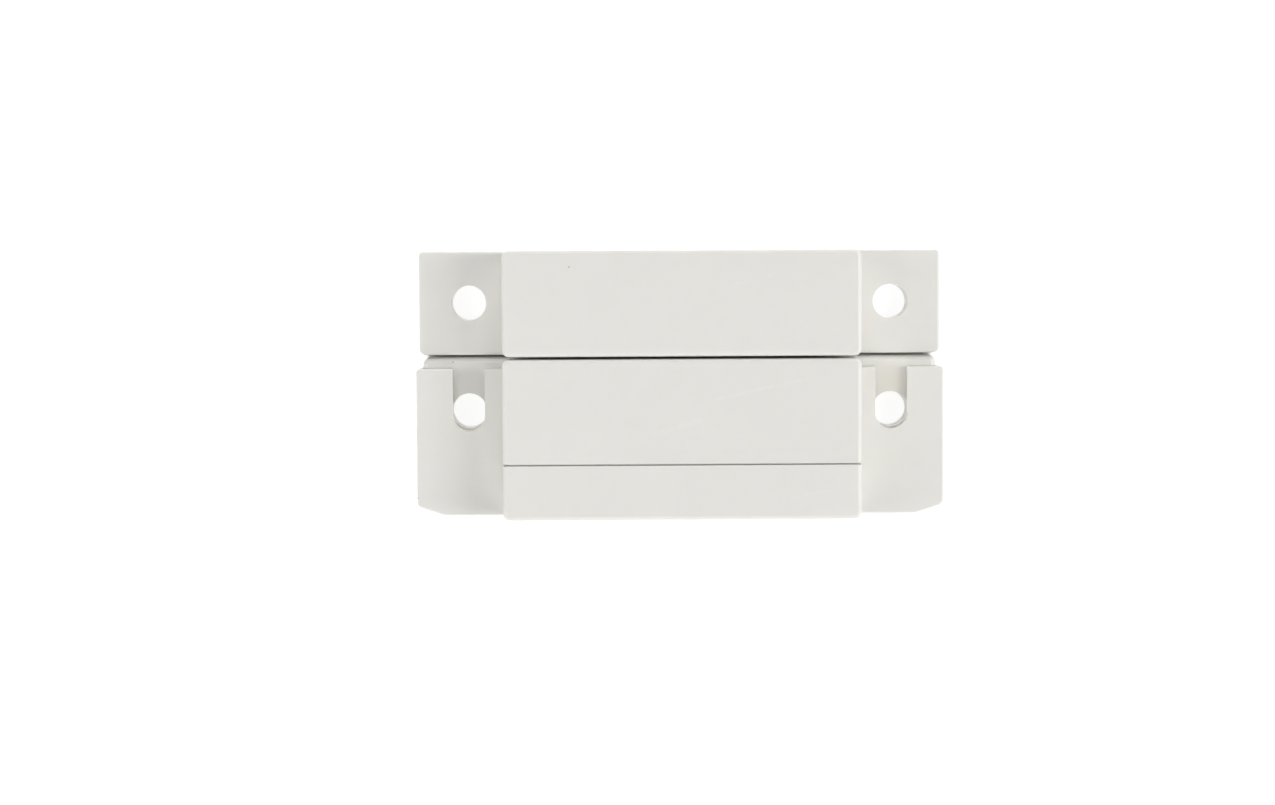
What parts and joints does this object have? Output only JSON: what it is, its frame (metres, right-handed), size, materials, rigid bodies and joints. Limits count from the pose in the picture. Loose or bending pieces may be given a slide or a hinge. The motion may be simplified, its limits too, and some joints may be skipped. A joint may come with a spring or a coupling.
{
  "type": "magnetic door contact",
  "caption": "Surface-mount magnetic door contact: a reed switch half with a slide-on terminal cover, and a magnet half that rides on the door.",
  "frame": {"origin": "centre of the pair on the mounting surface, with the two halves side by side as on a closed door", "axes": "+X along both halves, +Y from the switch half towards the magnet half, +Z away from the mounting surface"},
  "size_m": [0.0636, 0.0318, 0.0127],
  "materials": {
    "switch_plastic": "satin moulded ABS",
    "cover_plastic": "satin moulded ABS",
    "magnet_plastic": "satin moulded ABS",
    "back_plate_plastic": "satin moulded ABS",
    "potting_resin": "poured resin",
    "reed_glass": "clear drawn glass",
    "reed_metal": "plated nickel iron",
    "solder": "bright solder",
    "terminal_brass": "plated brass",
    "washer_steel": "zinc plated",
    "screw_steel": "zinc plated",
    "magnet_alloy": "ground magnet alloy"
  },
  "bodies": {
    "switch_unit": {"switch_housing": "switch_plastic", "potting_compound": "potting_resin", "reed_glass": "reed_glass", "reed_blade_left": "reed_metal", "reed_blade_right": "reed_metal", "solder_joint_left": "solder", "solder_joint_right": "solder", "terminal_plate_left": "terminal_brass", "terminal_plate_right": "terminal_brass", "clamp_washer_left": "washer_steel", "clamp_washer_right": "washer_steel", "terminal_screw_left": "screw_steel", "terminal_screw_right": "screw_steel"},
    "cover_unit": {"terminal_cover": "cover_plastic"},
    "magnet_unit": {"magnet_housing": "magnet_plastic", "magnet_rod": "magnet_alloy", "magnet_back_plate": "back_plate_plastic"}
  },
  "joints": [
    {"name": "cover_slide", "type": "slide", "parent": "switch_unit", "child": "cover_unit", "axis": [0, -1, 0], "range_m": [0, 0.02]},
    {"name": "door_travel", "type": "slide", "parent": "switch_unit", "child": "magnet_unit", "axis": [0, 1, 0], "range_m": [0, 0.025]}
  ]
}
